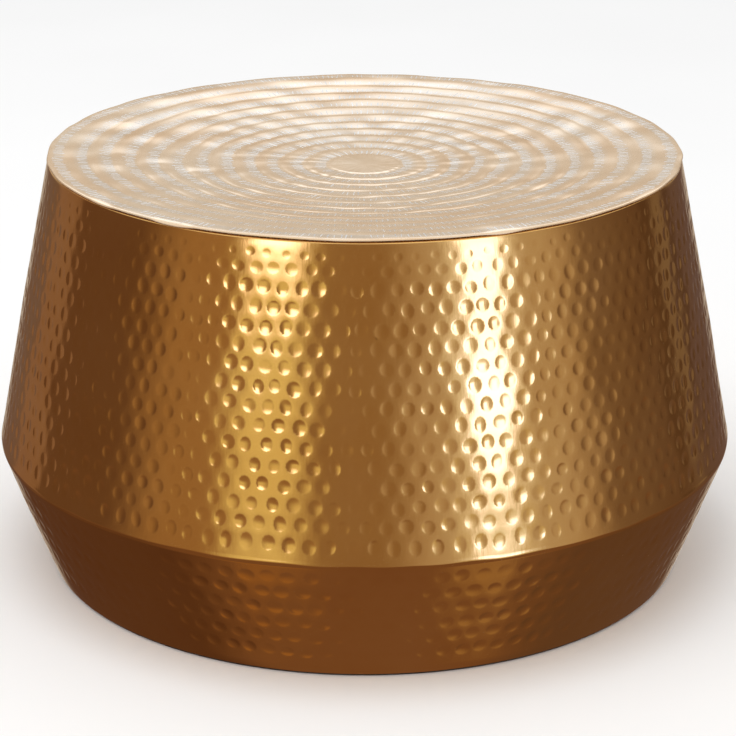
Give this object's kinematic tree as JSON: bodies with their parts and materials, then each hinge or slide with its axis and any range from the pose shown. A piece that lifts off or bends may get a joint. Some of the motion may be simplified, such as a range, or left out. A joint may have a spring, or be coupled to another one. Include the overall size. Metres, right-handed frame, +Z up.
{
  "type": "drum coffee table",
  "caption": "Round drum coffee table of hammered gold-finish sheet metal, with a dished ring-beaten top, a belted wall and an open underside.",
  "frame": {"origin": "on the floor, under the middle of the table", "axes": "+Z up along the axis that the walls and the top are turned about; X and Y are level, with the pictured side towards -Y"},
  "size_m": [0.6, 0.6, 0.34],
  "materials": {
    "top_champagne": "beaten sheet with a pale champagne gold lacquer, satin to polished",
    "wall_gold": "hammered sheet with a warm gold lacquer, polished",
    "weld_metal": "bare weld metal, rippled",
    "zinc_steel": "bright zinc plate",
    "strip_rubber": "matt black"
  },
  "bodies": {
    "root": {"top_dish": "top_champagne", "upper_shell": "wall_gold", "lower_shell": "wall_gold", "belly_weld": "weld_metal", "upper_seam_weld": "weld_metal", "lower_seam_weld": "weld_metal", "top_studs": "zinc_steel", "stud_washers": "zinc_steel", "stud_nuts": "zinc_steel", "floor_strip": "strip_rubber"}
  },
  "joints": []
}
